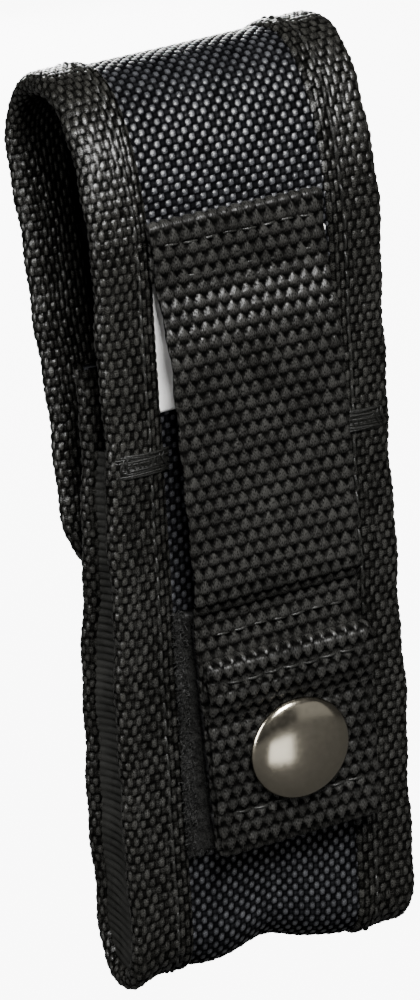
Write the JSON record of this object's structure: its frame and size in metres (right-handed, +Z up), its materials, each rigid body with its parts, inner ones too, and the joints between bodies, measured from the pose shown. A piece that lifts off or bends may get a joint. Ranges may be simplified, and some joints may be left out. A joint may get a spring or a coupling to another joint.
{
  "type": "flashlight belt holster",
  "caption": "Slim nylon belt pouch for a compact flashlight, with an arched flap, bound edges and a webbing belt strap closed by a snap.",
  "frame": {"origin": "middle of the belt channel between the back panel and the belt strap", "axes": "+Z up along the pouch, +Y out of the back towards the belt strap, -Y out of the flap side, X along the belt"},
  "size_m": [0.043, 0.0411, 0.1347],
  "materials": {
    "ballistic_nylon": "coarse basket weave, slight sheen on the yarns",
    "closed_foam": "matte closed-cell foam",
    "lining_fabric": "plain woven lining",
    "binding_tape": "ribbed woven binding tape",
    "gusset_webbing": "ribbed webbing",
    "belt_webbing": "coarse woven webbing",
    "hook_tape": "woven tape with moulded hooks",
    "pile_tape": "napped loops",
    "bonded_thread": "glossy bonded thread",
    "label_tape": "white satin label, blank",
    "snap_metal": "polished dark nickel plate"
  },
  "bodies": {
    "pouch": {"body_shell": "ballistic_nylon", "body_foam": "closed_foam", "body_lining": "lining_fabric", "body_binding_left": "binding_tape", "body_binding_right": "binding_tape", "front_top_binding": "binding_tape", "body_seam_left": "bonded_thread", "body_seam_right": "bonded_thread", "gusset_left": "gusset_webbing", "gusset_right": "gusset_webbing", "bartack_left": "bonded_thread", "bartack_right": "bonded_thread", "front_loop_patch": "pile_tape", "back_loop_patch": "pile_tape", "label": "label_tape", "strap_anchor": "belt_webbing", "anchor_stitches_upper": "bonded_thread", "anchor_stitches_lower": "bonded_thread", "snap_stud": "snap_metal", "snap_post": "snap_metal"},
    "flap": {"flap_shell": "ballistic_nylon", "flap_foam": "closed_foam", "flap_lining": "lining_fabric", "flap_binding": "binding_tape", "flap_seam": "bonded_thread", "flap_hook_patch": "hook_tape"},
    "strap": {"belt_strap": "belt_webbing", "strap_hook_patch": "hook_tape", "hook_patch_stitches": "bonded_thread", "tab_hem_stitches": "bonded_thread", "tab_lower_stitches": "bonded_thread", "snap_cap": "snap_metal", "snap_socket": "snap_metal"}
  },
  "joints": [
    {"name": "flap_hinge", "type": "hinge", "parent": "pouch", "child": "flap", "pos_m": [0, -0.00336, 0.03631], "axis": [-1, 0, 0], "range_deg": [0, 120]},
    {"name": "strap_hinge", "type": "hinge", "parent": "pouch", "child": "strap", "pos_m": [0, 0.00135, 0.0242], "axis": [1, 0, 0], "range_deg": [0, 90]}
  ]
}
